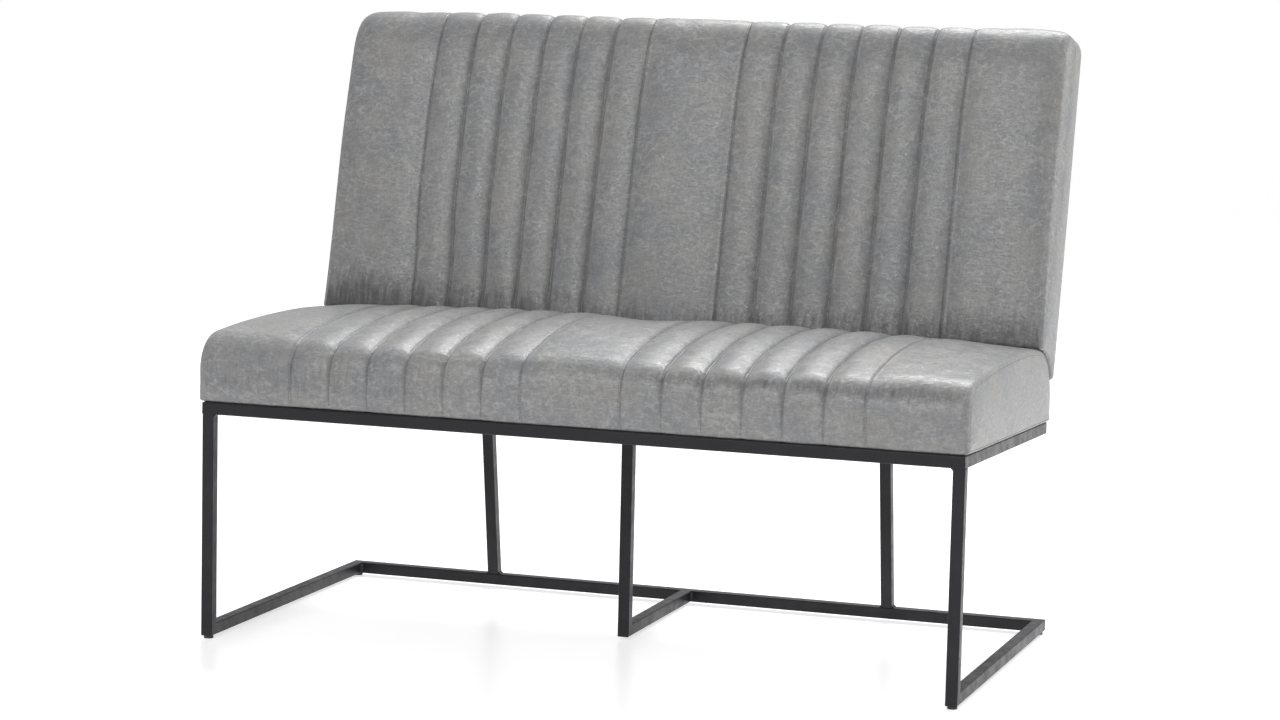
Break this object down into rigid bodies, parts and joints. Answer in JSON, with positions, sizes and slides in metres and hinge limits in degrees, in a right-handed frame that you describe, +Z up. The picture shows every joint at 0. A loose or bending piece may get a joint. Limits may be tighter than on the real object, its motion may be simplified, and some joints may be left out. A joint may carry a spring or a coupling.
{
  "type": "upholstered dining bench",
  "caption": "Dining bench for two or three: padded channelled seat and tall leaning back on a welded square-tube frame with a sled-like floor frame.",
  "frame": {"origin": "on the floor, under the middle of the bench's box", "axes": "+X to the right seen from the front, +Y to the rear, +Z up; the seat faces -Y"},
  "size_m": [1.316, 0.7682, 1.0434],
  "materials": {
    "black_steel": "satin black powder coat over steel tube",
    "leather": "distressed mid-grey leather, semi-matt, with fine pale creases",
    "foam": "cream polyurethane foam, open cell",
    "timber": "planed softwood, unfinished",
    "plywood": "birch plywood, unfinished",
    "zinc": "bright zinc-plated steel",
    "dust_cloth": "black non-woven dust cloth",
    "glide": "dark grey nylon"
  },
  "bodies": {
    "root": {"seat_front_rail": "black_steel", "seat_rear_rail": "black_steel", "seat_side_rail_left": "black_steel", "seat_side_rail_right": "black_steel", "seat_centre_rail": "black_steel", "front_leg_left": "black_steel", "front_leg_right": "black_steel", "centre_leg": "black_steel", "floor_runner_left": "black_steel", "floor_runner_right": "black_steel", "floor_centre_runner": "black_steel", "floor_rear_rail": "black_steel", "rear_upright_left": "black_steel", "rear_upright_right": "black_steel", "weld_fillets": "black_steel", "foot_glides": "glide", "seat_fixing_tabs": "black_steel", "seat_bolts": "zinc", "seat_tee_nuts": "zinc", "dust_cover": "dust_cloth", "seat_board": "plywood", "seat_foam": "foam", "seat_cover": "leather", "back_bracket_left": "black_steel", "back_bracket_right": "black_steel", "back_bolts": "zinc", "back_tee_nuts": "zinc", "back_top_rail": "timber", "back_bottom_rail": "timber", "back_side_stile_left": "timber", "back_side_stile_right": "timber", "back_inner_stile_left": "timber", "back_inner_stile_right": "timber", "back_middle_stile": "timber", "back_front_panel": "plywood", "back_foam": "foam", "back_rear_panel": "plywood", "back_cover": "leather"}
  },
  "joints": []
}
